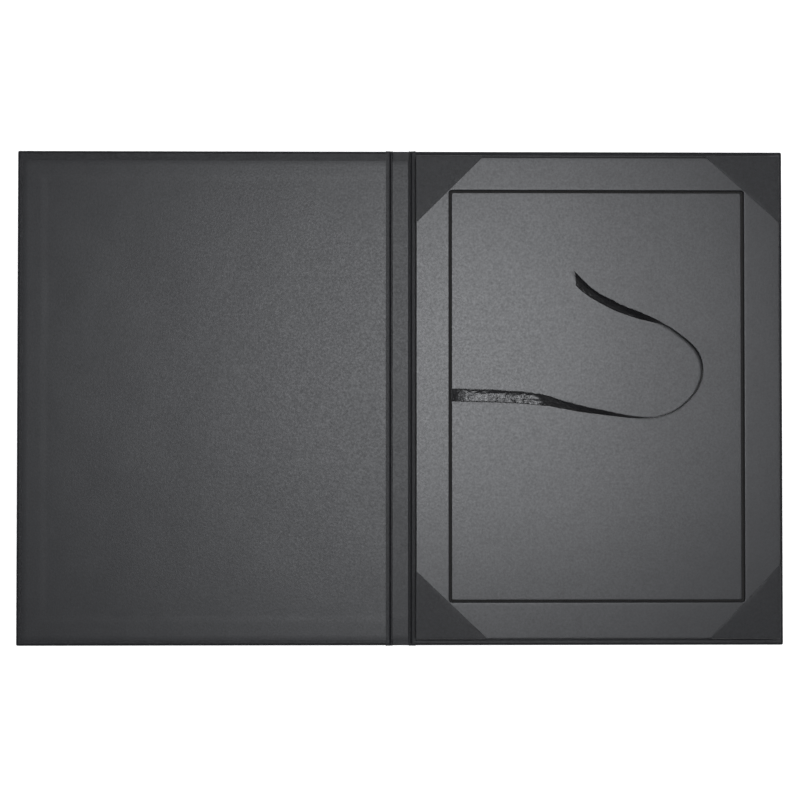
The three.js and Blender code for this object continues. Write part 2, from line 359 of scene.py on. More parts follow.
class Nodes:
    """Short ways to add and join shader nodes in one material."""

    def __init__(self, name: str) -> None:
        """Start an empty node material with a principled surface.

        Args:
            name: The material's name.
        """
        self.material = bpy.data.materials.new(name)
        self.material.use_nodes = True
        self.tree = self.material.node_tree
        self.tree.nodes.clear()
        self.surface = self.tree.nodes.new("ShaderNodeBsdfPrincipled")
        out = self.tree.nodes.new("ShaderNodeOutputMaterial")
        self.join(self.surface, "BSDF", out, "Surface")
        self.places = self.tree.nodes.new("ShaderNodeTexCoord")

    def join(self, giver: Node, out: str | int, taker: Node, into: str | int) -> None:
        """Link one node's output to another's input."""
        self.tree.links.new(giver.outputs[out], taker.inputs[into])

    def mapped(self, scale: tuple[float, float, float], uv: bool = False) -> Node:
        """Return a mapping node that scales Object places, or the piece's own UV.

        Args:
            scale: Factors on the places along each axis.
            uv: Whether the places are the piece's UV.

        Returns:
            The mapping node.
        """
        node = self.tree.nodes.new("ShaderNodeMapping")
        node.inputs["Scale"].default_value = scale
        self.join(self.places, "UV" if uv else "Object", node, "Vector")
        return node

    def noise(self, giver: Node, scale: float, detail: float = 3, rough: float = 0.55) -> Node:
        """Return a noise texture on the mapped places; its factor is the output Fac.

        Args:
            giver: Node that gives the places.
            scale: How many times the pattern repeats in a metre, about.
            detail: How many finer layers it has.
            rough: How strong the finer layers are.

        Returns:
            The texture node.
        """
        node = self.tree.nodes.new("ShaderNodeTexNoise")
        node.inputs["Scale"].default_value = scale
        node.inputs["Detail"].default_value = detail
        node.inputs["Roughness"].default_value = rough
        self.join(giver, "Vector", node, "Vector")
        return node

    def cells(self, giver: Node, scale: float) -> Node:
        """Return a Voronoi texture whose Distance grows from the edges of its cells.

        Args:
            giver: Node that gives the places.
            scale: Cells in a metre.

        Returns:
            The texture node.
        """
        node = self.tree.nodes.new("ShaderNodeTexVoronoi")
        node.feature = "DISTANCE_TO_EDGE"
        node.inputs["Scale"].default_value = scale
        self.join(giver, "Vector", node, "Vector")
        return node

    def span(self, giver: Node, out: str, source: Span, target: Span) -> Node:
        """Return a node that maps a value's source range on to a target range, clamped.

        Args:
            giver: Node that gives the value.
            out: Name of its output.
            source: Range that the value covers.
            target: Range that it becomes.

        Returns:
            The node; its output is Result.
        """
        node = self.tree.nodes.new("ShaderNodeMapRange")
        node.inputs["From Min"].default_value, node.inputs["From Max"].default_value = source
        node.inputs["To Min"].default_value, node.inputs["To Max"].default_value = target
        self.join(giver, out, node, "Value")
        return node

    def tint(self, giver: Node, out: str, source: Span, colour: Colour, shades: Span) -> None:
        """Colour the surface: the colour times the first shade where a value is at the start of
        its source range, and times the second at its end.

        Args:
            giver: Node that gives the value.
            out: Name of its output.
            source: Range that the value covers.
            colour: The finish's own colour.
            shades: Factors on it at the range's start and end.
        """
        node = self.tree.nodes.new("ShaderNodeMix")
        node.data_type = "RGBA"
        for socket, factor in zip("AB", shades):
            node.inputs[socket].default_value = (*(channel * factor for channel in colour), 1)
        self.join(self.span(giver, out, source, (0, 1)), "Result", node, "Factor")
        self.join(node, "Result", self.surface, "Base Color")

    def roughen(self, giver: Node, source: Span, mean: float, swing: Span) -> None:
        """Let a noise, over its source range, move the roughness through the swing about its mean."""
        target = (mean + swing[0], mean + swing[1])
        self.join(self.span(giver, "Fac", source, target), "Result", self.surface, "Roughness")

    def combine(self, operation: str, first: tuple[Node, str], second: tuple[Node, str]) -> Node:
        """Return a maths node on two outputs, each named with its node, held between 0 and 1.

        Args:
            operation: The shader's name for the operation.
            first: A node and the name of its output.
            second: The other node and the name of its output.

        Returns:
            The node; its output is Value.
        """
        node = self.tree.nodes.new("ShaderNodeMath")
        node.operation = operation
        node.use_clamp = True
        self.join(*first, node, 0)
        self.join(*second, node, 1)
        return node

    def sum(self, first: Node, second: Node, out: tuple[str, str], share: float) -> Node:
        """Return first + share * second.

        Args:
            first: Node that gives the first value.
            second: Node that gives the second value.
            out: The names of their outputs.
            share: Factor on the second value.

        Returns:
            The node; its output is Value.
        """
        node = self.tree.nodes.new("ShaderNodeMath")
        node.operation = "MULTIPLY_ADD"
        node.inputs[1].default_value = share
        self.join(second, out[1], node, 0)
        self.join(first, out[0], node, 2)
        return node

    def bump(self, height: Node, out: str, depth: float, strength: float = 1) -> None:
        """Give the surface a bump of this depth in metres.

        Args:
            height: Node that gives the height.
            out: Name of its output.
            depth: Depth in metres.
            strength: Share of the bump that is used.
        """
        node = self.tree.nodes.new("ShaderNodeBump")
        node.inputs["Distance"].default_value = depth
        node.inputs["Strength"].default_value = strength
        self.join(height, out, node, "Height")
        self.join(node, "Normal", self.surface, "Normal")

    def gloss(self, specular: float, sheen: float = 0.0) -> None:
        """Set the reflection's level and the sheen, which are the same all over.

        Args:
            specular: The reflection's level.
            sheen: The sheen's weight.
        """
        self.surface.inputs["Specular IOR Level"].default_value = specular
        self.surface.inputs["Sheen Weight"].default_value = sheen
        self.surface.inputs["Sheen Roughness"].default_value = 0.5


@dataclass(frozen=True)
class Leatherette:
    """Dark case cloth: a fine pebbled grain with a satin top."""

    name: str = "charcoal_leatherette"
    colour: Colour = (0.0215, 0.022, 0.0245)
    shades: Span = (0.55, 1.45)
    pebble: float = 0.55 * MM
    speck: float = 2.2 * MM
    cloud: float = 22 * MM
    depth: float = 0.05 * MM
    roughness: float = 0.42
    swing: Span = (-0.015, 0.015)
    specular: float = 0.305

    def build(self) -> bpy.types.Material:
        """Return the material: pebbles from cell edges and noise, with specks in their colour.

        Returns:
            The finished material.
        """
        nodes = Nodes(self.name)
        places = nodes.mapped((1, 1, 1))
        grain = nodes.cells(places, 1 / self.pebble)
        fine = nodes.noise(places, 1 / (0.35 * self.pebble), 2)
        cloud = nodes.noise(places, 1 / self.cloud, 3)
        speck = nodes.noise(places, 1 / self.speck, 3, 0.7)
        pebbles = nodes.span(grain, "Distance", (0, 0.28), (0, 1))
        tone = nodes.sum(pebbles, speck, ("Result", "Fac"), 3.5)
        nodes.tint(tone, "Value", (1.35, 3.35), self.colour, self.shades)
        nodes.roughen(cloud, (0.3, 0.7), self.roughness, self.swing)
        height = nodes.sum(pebbles, fine, ("Result", "Fac"), 0.5)
        nodes.bump(height, "Value", self.depth, 0.8)
        nodes.gloss(self.specular)
        return nodes.material


@dataclass(frozen=True)
class CoverPaper:
    """Charcoal cover paper: fibre fleck, slight clouding and a broad, soft sheen."""

    name: str = "charcoal_paper"
    colour: Colour = (0.033, 0.0337, 0.0366)
    shades: Span = (0.65, 1.35)
    fibre: float = 0.5 * MM
    fleck: float = 1.6 * MM
    cloud: float = 18 * MM
    depth: float = 0.032 * MM
    roughness: float = 0.365
    patchiness: float = 0.05
    specular: float = 0.475

    def build(self) -> bpy.types.Material:
        """Return the material: fleck and clouds in its colour, fleck in its gloss, and a faint
        tooth of fibres.

        Returns:
            The finished material.
        """
        nodes = Nodes(self.name)
        places = nodes.mapped((1, 1, 1))
        along = nodes.mapped((1, 0.3, 1))
        fleck = nodes.noise(places, 1 / self.fleck, 4, 0.7)
        fibre = nodes.noise(along, 1 / self.fibre, 2)
        cloud = nodes.noise(places, 1 / self.cloud, 4, 0.6)
        tone = nodes.sum(fleck, cloud, ("Fac", "Fac"), 0.35)
        nodes.tint(tone, "Value", (0.42, 0.93), self.colour, self.shades)
        nodes.roughen(fleck, (0.3, 0.7), self.roughness, (self.patchiness, -self.patchiness))
        height = nodes.sum(fibre, fleck, ("Fac", "Fac"), 1.5)
        nodes.bump(height, "Value", self.depth, 0.8)
        nodes.gloss(self.specular)
        return nodes.material


@dataclass(frozen=True)
class BlackBoard:
    """Dark bookbinding board: rough, with pulp fleck. Its dark colour is partly painted shade for the
    window's gaps, where the rails show.
    """

    name: str = "dark_board_painted_gap_shade"
    colour: Colour = (0.03, 0.029, 0.028)
    shades: Span = (0.7, 1.35)
    fleck: float = 0.8 * MM
    depth: float = 0.05 * MM
    roughness: float = 0.88
    specular: float = 0.3

    def build(self) -> bpy.types.Material:
        """Return the material: pulp fleck in colour and a rough tooth.

        Returns:
            The finished material.
        """
        nodes = Nodes(self.name)
        fleck = nodes.noise(nodes.mapped((1, 1, 1)), 1 / self.fleck, 4, 0.7)
        nodes.tint(fleck, "Fac", (0.35, 0.65), self.colour, self.shades)
        nodes.surface.inputs["Roughness"].default_value = self.roughness
        nodes.bump(fleck, "Fac", self.depth, 0.7)
        nodes.gloss(self.specular)
        return nodes.material


@dataclass(frozen=True)
class SatinRibbon:
    """Near-black satin: fine threads along the ribbon, crinkled so that its shine is streaky."""

    name: str = "black_satin"
    colour: Colour = (0.006, 0.006, 0.0075)
    shades: Span = (0.6, 1.7)
    thread: float = 0.18 * MM
    crinkle: float = 1.7 * MM
    depth: float = 0.06 * MM
    roughness: float = 0.31
    swing: Span = (-0.06, 0.12)
    specular: float = 0.9
    sheen: float = 0.02

    def build(self) -> bpy.types.Material:
        """Return the material: threads and crinkles on the ribbon's own UV, in metres.

        Returns:
            The finished material.
        """
        nodes = Nodes(self.name)
        weave = nodes.mapped((0.15, 1, 1), uv=True)
        skin = nodes.mapped((1, 1, 1), uv=True)
        threads = nodes.noise(weave, 1 / self.thread, 2)
        crinkle = nodes.noise(skin, 1 / self.crinkle, 3, 0.6)
        nodes.tint(threads, "Fac", (0.35, 0.65), self.colour, self.shades)
        nodes.roughen(crinkle, (0.35, 0.65), self.roughness, self.swing)
        height = nodes.sum(threads, crinkle, ("Fac", "Fac"), 6.0)
        nodes.bump(height, "Value", self.depth, 0.9)
        nodes.gloss(self.specular, self.sheen)
        return nodes.material


class Wardrobe:
    """The finishes, each built once."""

    def __init__(self) -> None:
        """Build every finish."""
        self.leatherette = Leatherette().build()
        self.paper = CoverPaper().build()
        # The cover's paper is the frame's paper in a darker copy: its darker colour is painted shade for the
        # cover's tilt.
        self.cover_paper_painted_shade = CoverPaper(
            "cover_charcoal_paper_painted_shade",
            (0.03, 0.0307, 0.0334),
            depth=0.042 * MM,
            roughness=0.41,
            specular=0.43,
            patchiness=0.06,
        ).build()
        # The spine's paper is a still darker copy of the same paper: its darker colour is painted shade for
        # the spine's angle.
        self.spine_paper_painted_shade = CoverPaper(
            "spine_charcoal_paper_painted_shade", (0.028, 0.0286, 0.031), roughness=0.41, specular=0.3
        ).build()
        self.board = BlackBoard().build()
        self.satin = SatinRibbon().build()


def stand_in(
    piece: Piece, node: str, thickness: float, finish: bpy.types.Material, at_once: bool = False
) -> Piece:
    """Let a new sheet stand for a CAD node, with its thickness, finish and material slot.

    Args:
        piece: The sheet.
        node: The CAD node that it stands for, alone or with another piece.
        thickness: Its thickness in metres.
        finish: Its material.
        at_once: Whether the thickness goes into the mesh now.

    Returns:
        The same piece.
    """
    thicken(piece, thickness, at_once)
    piece.data.materials.clear()
    piece.data.materials.append(finish)
    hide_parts(node)
    return piece


def redress(node: str, finish: bpy.types.Material) -> None:
    """Give a CAD node that stays a better finish.

    Args:
        node: The CAD node.
        finish: Its material.
    """
    for slot in frame["nodes"][node].material_slots:
        slot.material = finish
    log.info("%s keeps its solid, in %s", node, finish.name)


# Sub-assemblies


@dataclass
class Levels:
    """Thicknesses that the boards, leatherette and paper share, and heights from the solids."""

    wrap: float = 0.35 * MM
    paper: float = 0.25 * MM
    turn_in: float = 20 * MM
    liner_ramp: float = 6.5 * MM
    turn_in_top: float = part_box("spine_wrap")[1].z
    liner_top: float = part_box("spine_liner")[1].z
    board_top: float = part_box("spine_board")[1].z
    frame_top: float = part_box("frame_paper")[1].z
    rail_bottom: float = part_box("rail_left")[0].z
    hinge_x: float = frame["joints"][0]["pos_m"][0]

    def liner_height(self, past: Array, first_drop: float, slow_ramp: float) -> Array:
        """Work out the top of a liner that sinks from the turned-in strips to the board.

        Args:
            past: How far each place lies inside the strips' inner edges.
            first_drop: How much of the fall a smooth step takes up over the liner's ramp.
            slow_ramp: The length over which a smooth step takes up the rest.

        Returns:
            Heights, in the shape of past.
        """
        rest = self.turn_in_top - self.board_top - first_drop
        height = self.liner_top - first_drop * smooth_step(past / self.liner_ramp)
        return height - rest * smooth_step(past / slow_ramp)


@dataclass
class CaseBoard:
    """An outer board of the case: its leatherette, turned in on three sides, and its paper."""

    body: str
    open_side: OpenSide
    levels: Levels
    wardrobe: Wardrobe
    edge_radius: float = 0.7 * MM
    edge_slope: Span = (1.7 * MM, 0.45 * MM)
    corner_radius: float = 1.3 * MM
    groove: tuple[float, float, float] = (1.9 * MM, 0.6 * MM, 0.34 * MM)
    groove_at_head: float = 0.35 * MM
    foot_zone: Span = (2.6 * MM, 7 * MM)
    hidden_turn_in: float = 16.5 * MM
    liner_reach: float = 0.35 * MM
    first_drop: float = 0.07 * MM
    slow_ramp: float = 90 * MM
    hinge_dip: Span = (0.06 * MM, 1.5 * MM)
    swell: Swell = Swell(0.12 * MM, 90 * MM, seed=11)

    def wrap(self) -> Piece:
        """Build the leatherette: a profile from under the board's middle line, round its worn edge
        and in over the top, carried along the three covered sides.

        Returns:
            The piece, on its body.
        """
        rect = Rect.of(f"{self.body}_wrap")
        top, radius = self.levels.turn_in_top, self.edge_radius
        run, fall = self.edge_slope
        middle = (rect.top - rect.bottom) / 2
        profile = filleted(
            [
                (middle, 0, 0),
                (0, 0, radius),
                (0, top - fall, radius),
                (run, top, run / 2),
                (self.foot_zone[0], top, 0),
            ]
        )
        level = np.append(np.linspace(*self.foot_zone, 40), self.hidden_turn_in)
        profile = np.concatenate([profile[:-1], np.stack([level, np.full_like(level, top)], -1)])
        points = Outline(rect, self.corner_radius, self.open_side).swept(profile)
        if self.body == "base":
            self.press_foot(points, len(level))
        piece = grid_piece(f"{self.body}_leatherette", points)
        stand_in(piece, f"{self.body}_wrap", self.levels.wrap, self.wardrobe.leatherette)
        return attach(piece, self.body)

    def press_foot(self, points: Array, columns: int) -> None:
        """Press a groove into the leatherette along the tray's foot.

        It is at its full depth as far as its floor reaches from the tray's walls, a little further
        at the head, and then fades out linearly over its rise.

        Args:
            points: The wrap's surface (stations, profile, 3), changed in place.
            columns: How many of the last profile points lie on top of the board.
        """
        floor, rise, depth = self.groove
        tray = Rect.of("frame_paper", "corner_top_left", "corner_bottom_right")
        x, y = points[:, -columns:, 0], points[:, -columns:, 1]
        beyond_x = np.maximum(tray.left - x, x - tray.right)
        beyond_y = np.maximum(tray.bottom - y, y - tray.top - self.groove_at_head)
        distance = np.maximum(np.maximum(beyond_x, beyond_y), 0)
        points[:, -columns:, 2] -= depth * np.clip((floor + rise - distance) / rise, 0, 1)

    def liner(self) -> Piece:
        """Build the paper inside the cover: it lies on the turned-in strips and falls to the board
        inside them, a little at once and the rest slowly, with a slight swell there. Its edge at
        the hinge dips by the first hinge_dip over the length of the second.

        Returns:
            The piece, on its body.
        """
        solid = Rect.of(f"{self.body}_liner")
        rect = Rect(solid.left, solid.right + self.liner_reach, solid.bottom, solid.top)
        strips = Rect.of(f"{self.body}_wrap").inset(self.hidden_turn_in)
        half = self.levels.liner_ramp / 2
        x = fine_stations(rect.left, rect.right, (strips.left + half,), half)
        y = fine_stations(rect.bottom, rect.top, (strips.bottom + half, strips.top - half), half)
        grid_x, grid_y = np.meshgrid(x, y, indexing="ij")
        past = np.minimum(grid_x - strips.left, np.minimum(grid_y - strips.bottom, strips.top - grid_y))
        dip, dip_run = self.hinge_dip
        height = self.levels.liner_height(past, self.first_drop, self.slow_ramp)
        height -= dip * np.clip(1 - (rect.right - grid_x) / dip_run, 0, 1)
        inside = smooth_step(past / (2 * self.levels.liner_ramp))
        height += self.swell.at(grid_x, grid_y) * inside
        piece = grid_piece(f"{self.body}_paper", np.stack([grid_x, grid_y, height], -1))
        # The darker copy of the paper; its darker colour is painted shade.
        stand_in(piece, f"{self.body}_liner", self.levels.paper, self.wardrobe.cover_paper_painted_shade)
        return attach(piece, self.body)


def fine_stations(
    low: float, high: float, marks: Sequence[float], ramp: float, step: float = 4 * MM
) -> Array:
    """Return places from low to high about a step apart, with close ones across each ramp.

    Args:
        low: First place.
        high: Last place.
        marks: Where a ramp starts or ends.
        ramp: The ramp's length.
        step: Spacing away from the ramps.

    Returns:
        Sorted places (count,).
    """
    coarse = np.linspace(low, high, int(round((high - low) / step)) + 1)
    near = np.linspace(-1.3 * ramp, 1.3 * ramp, 17)
    clear = np.all(np.abs(coarse[:, None] - np.array(marks)) > 1.5 * ramp, axis=1)
    clear |= (coarse == low) | (coarse == high)
    return np.unique(np.concatenate([coarse[clear], *(mark + near for mark in marks)]))


@dataclass
class Spine:
    """The narrow board between the hinges, with its leatherette and paper."""

    levels: Levels
    wardrobe: Wardrobe
    edge_radius: float = 1.0 * MM
    paper_shift: float = 0.55 * MM
    paper_reach: float = 0.15 * MM
    first_drop: float = 0.08 * MM
    slow_ramp: float = 60 * MM
    right_roll: Span = (0.1 * MM, 0.9 * MM)
    left_rise: Span = (0.06 * MM, 1.4 * MM)
    swell: Swell = Swell(0.05 * MM, 60 * MM, seed=23)

    def wrap(self) -> Piece:
        """Build the leatherette: one profile along Y, under the board and in over both of its
        ends, carried straight across the spine.

        Returns:
            The piece, on its body.
        """
        rect = Rect.of("spine_wrap")
        top, radius, turn = self.levels.turn_in_top, self.edge_radius, self.levels.turn_in
        profile = filleted(
            [
                (rect.top - turn, top, 0),
                (rect.top, top, radius),
                (rect.top, 0, radius),
                (rect.bottom, 0, radius),
                (rect.bottom, top, radius),
                (rect.bottom + turn, top, 0),
            ]
        )
        x = np.linspace(rect.left, rect.right, 7)
        piece = grid_piece("spine_leatherette", across_x(profile, x))
        stand_in(piece, "spine_wrap", self.levels.wrap, self.wardrobe.leatherette)
        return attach(piece, "spine")

    def liner(self) -> Piece:
        """Build the spine's paper: it lies on the turned-in ends and drops to the board between
        them, with a slight swell. Its right edge rolls down and its left one stands up, each by
        the first of its two sizes over the length of the second.

        Returns:
            The piece, on its body.
        """
        rect = Rect.of("spine_liner")
        rect = Rect(rect.left - self.paper_shift, rect.right + self.paper_reach, rect.bottom, rect.top)
        strips = Rect.of("spine_wrap").inset(self.levels.turn_in)
        x = np.linspace(rect.left, rect.right, 17)
        y = fine_stations(rect.bottom, rect.top, (strips.bottom, strips.top), self.levels.liner_ramp)
        grid_x, grid_y = np.meshgrid(x, y, indexing="ij")
        past = np.minimum(grid_y - strips.bottom, strips.top - grid_y)
        roll, roll_run = self.right_roll
        rise, rise_run = self.left_rise
        height = self.levels.liner_height(past, self.first_drop, self.slow_ramp)
        height -= roll * (1 - smooth_step((rect.right - grid_x) / roll_run))
        height += rise * np.clip(1 - (grid_x - rect.left) / rise_run, 0, 1)
        height += self.swell.at(grid_x, grid_y)
        # The spine's paper takes the darker copy, whose darker colour is painted shade.
        piece = grid_piece("spine_paper_painted_shade", np.stack([grid_x, grid_y, height], -1))
        stand_in(piece, "spine_liner", self.levels.paper, self.wardrobe.spine_paper_painted_shade)
        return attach(piece, "spine")


def across_x(profile: Array, x: Array) -> Array:
    """Carry a profile of (y, z) points straight along x.

    Args:
        profile: Points (y, z), (count, 2).
        x: Places along x, (stations,).

    Returns:
        Points (stations, count, 3).
    """
    line = np.broadcast_to(profile, (len(x), *profile.shape))
    return np.concatenate([np.broadcast_to(x[:, None, None], (*line.shape[:2], 1)), line], -1)


@dataclass
class Hinge:
    """The leatherette between two boards: an outer cloth under the gap, and an inner cloth pressed
    into a gutter.

    side is +1 for the hinge at the base and -1 for the one at the cover. ridge is where the inner
    cloth turns down: its distance from the spine's edge, height and radius. gutter is where its
    floor starts and ends, as distances from that edge, and the floor's height.
    """

    side: int
    outer_body: str
    levels: Levels
    wardrobe: Wardrobe
    bend: float = 1.6 * MM
    overlap: float = 0.04 * MM
    turned_level: float = 0.8 * MM
    end_height: float = 1.5 * MM
    end_run: float = 3 * MM
    end_radii: tuple[float, float, float] = (0.6 * MM, 0.5 * MM, 2 * MM)
    end_gap: float = 0.2 * MM
    ridge: tuple[float, float, float] = (2.3 * MM, 2.16 * MM, 0.9 * MM)
    gutter: tuple[float, float, float] = (0.2 * MM, 1.25 * MM, 0.78 * MM)
    gutter_radius: float = 0.35 * MM

    @property
    def node(self) -> str:
        """The CAD node that the two cloths stand for."""
        return f"{self.outer_body}_hinge_cloth"

    def fit(self, piece: Piece) -> Piece:
        """Finish a cloth and let it bend across the joint, in a narrow band about its axis.

        Args:
            piece: The bare cloth.

        Returns:
            The piece, blended across the joint.
        """
        stand_in(piece, self.node, self.levels.wrap, self.wardrobe.leatherette)
        axis_x = self.side * self.levels.hinge_x
        start = (axis_x + self.side * self.bend, 0, 0)
        end = (axis_x - self.side * self.bend, 0, 0)
        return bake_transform(piece, self.outer_body, "spine", start=start, end=end)

    def outer_cloth(self) -> Piece:
        """Build the outer cloth: it runs under the gap, round both ends in a slight bulge, and
        back in over the top, as a profile along Y carried across the hinge.

        Returns:
            The piece, blended across the joint.
        """
        rect = Rect.of(self.node)
        low, high, level = rect.bottom, rect.top, self.turned_level
        foot_radius, top_radius, run_radius = self.end_radii
        profile = filleted(
            [
                (high - self.levels.turn_in, level, 0),
                (high - self.end_run, level, run_radius),
                (high, self.end_height, top_radius),
                (high, 0, foot_radius),
                (low, 0, foot_radius),
                (low, self.end_height, top_radius),
                (low + self.end_run, level, run_radius),
                (low + self.levels.turn_in, level, 0),
            ]
        )
        x = np.linspace(rect.left - self.overlap, rect.right + self.overlap, 25)
        return self.fit(grid_piece(f"{self.outer_body}_hinge_outer_cloth", across_x(profile, x)))

    def inner_cloth(self) -> Piece:
        """Build the inner cloth: its section leaves the outer board's edge almost flat, rolls over
        a ridge into the gutter and climbs the spine's edge. Carried along Y it dips a little
        between the ends, by a seeded swell.

        Returns:
            The piece, blended across the joint.
        """
        rect = Rect.of(self.node)
        spine_edge = Rect.of("spine_wrap").right
        outer_edge = max(abs(rect.left), abs(rect.right))
        ridge_out, ridge_height, ridge_radius = self.ridge
        gutter_from, gutter_to, floor = self.gutter
        section = filleted(
            [
                (outer_edge + 0.02 * MM, self.levels.board_top + 0.24 * MM, 0),
                (spine_edge + ridge_out, ridge_height, ridge_radius),
                (spine_edge + gutter_to, floor, self.gutter_radius),
                (spine_edge + gutter_from, floor, self.gutter_radius),
                (spine_edge + 0.07 * MM, self.levels.turn_in_top - 0.05 * MM, 0),
            ],
            steps=8,
        )
        reach = rect.top - self.end_gap
        y = np.linspace(-reach, reach, 121)
        grid_y, grid_x = np.meshgrid(y, section[:, 0], indexing="ij")
        height = np.broadcast_to(section[:, 1], grid_y.shape).copy()
        swell = Swell(0.12 * MM, 45 * MM, seed=31 + self.side)
        height += swell.at(grid_x, grid_y) * (section[:, 1] > 1.2 * MM)
        points = np.stack([self.side * grid_x, grid_y, height], -1)
        if self.side > 0:
            points = points[::-1]
        return self.fit(grid_piece(f"{self.outer_body}_hinge_inner_cloth", points))


@dataclass
class Tray:
    """The raised frame on the base: paper over card, with four leatherette corner pieces."""

    levels: Levels
    wardrobe: Wardrobe
    edge_radius: float = 0.5 * MM
    head_radius: float = 1.7 * MM
    lip_radius: float = 1.0 * MM
    left_reach: float = 0.5 * MM
    window_radius: float = 1.8 * MM
    corner_radius: float = 0.7 * MM
    corner_thickness: float = 0.35 * MM
    glue: float = 0.02 * MM
    outer_run: float = 4 * MM
    lip: Span = (3 * MM, 2.2 * MM)
    head_zone: Span = (8 * MM, 6 * MM)
    gaps: tuple[float, float, float, float] = (1.4 * MM, 2 * MM, 1.4 * MM, 1.5 * MM)

    @property
    def rect(self) -> Rect:
        """The tray's outline; its paper stands out a little over the hinge."""
        solid = Rect.of("frame_paper")
        return Rect(solid.left - self.left_reach, solid.right, solid.bottom, solid.top)

    def wall(self, radius: float) -> Array:
        """Return the profile (inset, height) of the walls and outer edge, for one edge radius."""
        top = self.levels.frame_top
        return filleted([(0, self.levels.rail_bottom, 0), (0, top, radius), (self.outer_run, top, 0)])

    @property
    def window(self) -> Rect:
        """The frame's window: the lift-out panel's outline and the gaps round it.

        Returns:
            The window's rectangle.
        """
        panel = Rect.of("insert_paper")
        left, right, bottom, top = self.gaps
        return Rect(panel.left - left, panel.right + right, panel.bottom - bottom, panel.top + top)

    def paper(self) -> Piece:
        """Build the frame's paper: up the walls, over the rounded outer edge, across the frame and
        down the window's edge. Outer and inner loops have the same stations, so each joins its
        neighbour in one grid. The head's edge is rounder: there the outer loop is mixed with one
        of a larger radius.

        Returns:
            The piece, on its body.
        """
        top = self.levels.frame_top
        across, down = self.lip
        lip = filleted([(-across, top, 0), (0, top, self.lip_radius), (0, top - down, 0)])
        outline = Outline(self.rect, self.corner_radius)
        outer = outline.swept(self.wall(self.edge_radius))
        head = outline.swept(self.wall(self.head_radius))
        start, over = self.head_zone
        outer += (head - outer) * smooth_step((outer[:, :1, 1:2] - self.rect.top + start) / over)
        inner = Outline(self.window, self.window_radius).swept(lip)
        piece = grid_piece("frame_cover_paper", np.concatenate([outer, inner], 1), closed=True)
        stand_in(piece, "frame_paper", self.levels.paper, self.wardrobe.paper)
        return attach(piece, "base")

    def corner_lines(self, reach: Span, skin: float) -> tuple[Array, Array]:
        """Work out the two long lines of a corner piece, measured in from the tray's corner.

        Args:
            reach: How far the piece runs along each wall.
            skin: How far its outside stands off the walls.

        Returns:
            The line along one wall, round the corner and along the other, and the matching places
            on the straight cut edge, each (count, 2).
        """
        path = filleted(
            [(reach[0], -skin, 0), (-skin, -skin, self.corner_radius + skin), (-skin, reach[1], 0)], 8
        )
        share = run_length(path)
        share /= share[-1]
        dense = np.unique(np.concatenate([share, np.linspace(0, 1, 41)]))
        wall = np.stack([np.interp(dense, share, path[:, k]) for k in (0, 1)], -1)
        cut_from, cut_to = np.array([reach[0], 0.0]), np.array([0.0, reach[1]])
        cut = cut_from + (cut_to - cut_from) * dense[:, None]
        cut[0], cut[-1] = wall[0], wall[-1]
        return wall, cut

    def corner(self, node: str) -> Piece:
        """Build a leatherette corner: a triangle on the frame between the long cut edge and the
        walls, rolled over the frame's edge and down both walls as flaps.

        The first parameter runs along one wall, round the corner and along the other. The second
        runs from the cut edge, straight to the wall, then down it.

        Args:
            node: The CAD node of one corner piece.

        Returns:
            The piece, on its body.
        """
        low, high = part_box(node)
        tray = self.rect
        along_x = 1 if (low.x + high.x) / 2 > (tray.left + tray.right) / 2 else -1
        along_y = 1 if (low.y + high.y) / 2 > 0 else -1
        skin = self.corner_thickness + self.glue
        wall, cut = self.corner_lines((high.x - low.x - skin, high.y - low.y - skin), skin)
        roll, top = self.edge_radius + skin, high.z
        width = np.maximum(np.linalg.norm(cut - wall, axis=1), 1e-6)
        edge = wall + (cut - wall) * np.clip(roll / width, 0, 1)[:, None]
        across = np.linspace(0, 1, 9)[None, :, None]
        face = cut[:, None] + (edge - cut)[:, None] * across
        face = np.concatenate([face, np.full((*face.shape[:2], 1), top)], -1)
        angle = np.linspace(0, math.pi / 2, 7)[None, 1:, None]
        over = edge[:, None] + (wall - edge)[:, None] * np.sin(angle)
        height = np.broadcast_to(top - roll + roll * np.cos(angle), (*over.shape[:2], 1))
        over = np.concatenate([over, height], -1)
        foot = np.concatenate([wall, np.full((len(wall), 1), low.z)], -1)[:, None]
        points = np.concatenate([face, over, foot], 1)
        inward = -np.array([along_x, along_y], float)
        points[..., :2] = tray.tip(along_x, along_y) + inward * points[..., :2]
        if along_x * along_y < 0:
            points = points[::-1]
        piece = grid_piece(f"{node}_leatherette", points)
        stand_in(piece, node, self.corner_thickness, self.wardrobe.leatherette)
        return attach(piece, "base")


@dataclass
class LiftOutPanel:
    """The paper-covered card that lies in the frame's window."""

    levels: Levels
    wardrobe: Wardrobe
    edge_radius: float = 0.5 * MM
    corner_radius: float = 1.1 * MM
    turned_under: float = 14 * MM
    flat_from: float = 3 * MM
    edge_run: float = 2 * MM
    under_drop: float = 0.2 * MM
    under_radius: float = 0.25 * MM
    warp: Swell = Swell(0.35 * MM, 210 * MM, seed=5)

    def paper(self) -> Piece:
        """Build the panel's paper: from the middle of its face, over the edge and under the card,
        carried round the panel, with a slight warp.

        Returns:
            The piece, on its body.
        """
        low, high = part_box("insert_paper")
        rect = Rect.of("insert_paper")
        half = (rect.right - rect.left) / 2
        under = low.z - self.under_drop
        inner = [(inset, high.z) for inset in np.linspace(half, self.flat_from, 28)]
        edge = filleted(
            [
                (self.edge_run, high.z, 0),
                (0, high.z, self.edge_radius),
                (0, under, self.under_radius),
                (self.turned_under, under, 0),
            ]
        )
        profile = np.concatenate([np.array(inner), edge])[::-1]
        points = Outline(rect, self.corner_radius, side_steps=36).swept(profile)
        points[..., 2] += self.warp.at(points[..., 0], points[..., 1])
        piece = grid_piece("panel_paper", points, closed=True)
        stand_in(piece, "insert_paper", self.levels.paper, self.wardrobe.paper)
        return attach(piece, "base")


